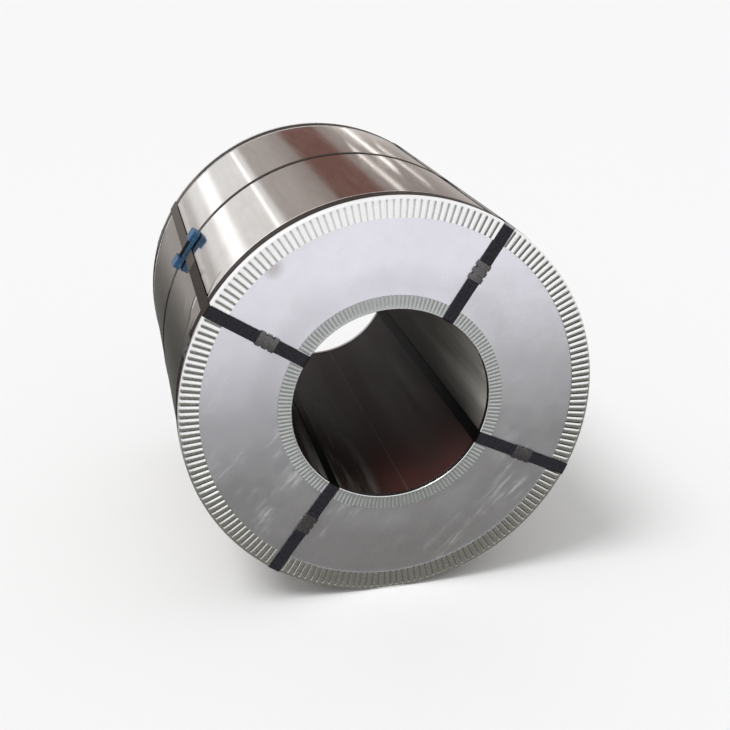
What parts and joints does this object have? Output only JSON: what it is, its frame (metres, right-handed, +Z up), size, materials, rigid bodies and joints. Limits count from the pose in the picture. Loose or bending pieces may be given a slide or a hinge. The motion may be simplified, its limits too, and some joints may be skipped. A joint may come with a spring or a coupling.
{
  "type": "steel coil",
  "caption": "Wide steel strip coil on its side, in sheet wrapping with crimped edge rings and steel straps.",
  "frame": {"origin": "on the bore's axis, half-way along the strip's width", "axes": "+Y along the bore from the front end, which has the eye straps' seals, to the back end; +Z up as it lies; +X to the right seen from the front"},
  "size_m": [1.0557, 1.0605, 1.0557],
  "materials": {
    "strip_steel": "cold rolled",
    "wrap_sheet": "bright, lightly waved",
    "liner_sheet": "dull, oiled",
    "disc_sheet": "galvanised, satin",
    "ring_sheet": "bright galvanised, crimped",
    "strap_steel": "black, waxed",
    "seal_steel": "dull grey, crimped",
    "guard_plastic": "moulded",
    "insert_rubber": "matt black"
  },
  "bodies": {
    "root": {"bore_liner": "liner_sheet", "crossing_guard": "guard_plastic", "end_disc_back": "disc_sheet", "end_disc_front": "disc_sheet", "end_strap_back": "strap_steel", "end_strap_front": "strap_steel", "eye_strap_lower_left": "strap_steel", "eye_strap_lower_right": "strap_steel", "eye_strap_upper_left": "strap_steel", "eye_strap_upper_right": "strap_steel", "guard_insert": "insert_rubber", "inner_edge_ring_back": "ring_sheet", "inner_edge_ring_front": "ring_sheet", "middle_strap": "strap_steel", "outer_edge_ring_back": "ring_sheet", "outer_edge_ring_front": "ring_sheet", "outer_wrap": "wrap_sheet", "seal_of_end_strap_back": "seal_steel", "seal_of_end_strap_front": "seal_steel", "seal_of_eye_strap_lower_left": "seal_steel", "seal_of_eye_strap_lower_right": "seal_steel", "seal_of_eye_strap_upper_left": "seal_steel", "seal_of_eye_strap_upper_right": "seal_steel", "seal_of_middle_strap": "seal_steel", "strip_coil": "strip_steel"}
  },
  "joints": []
}
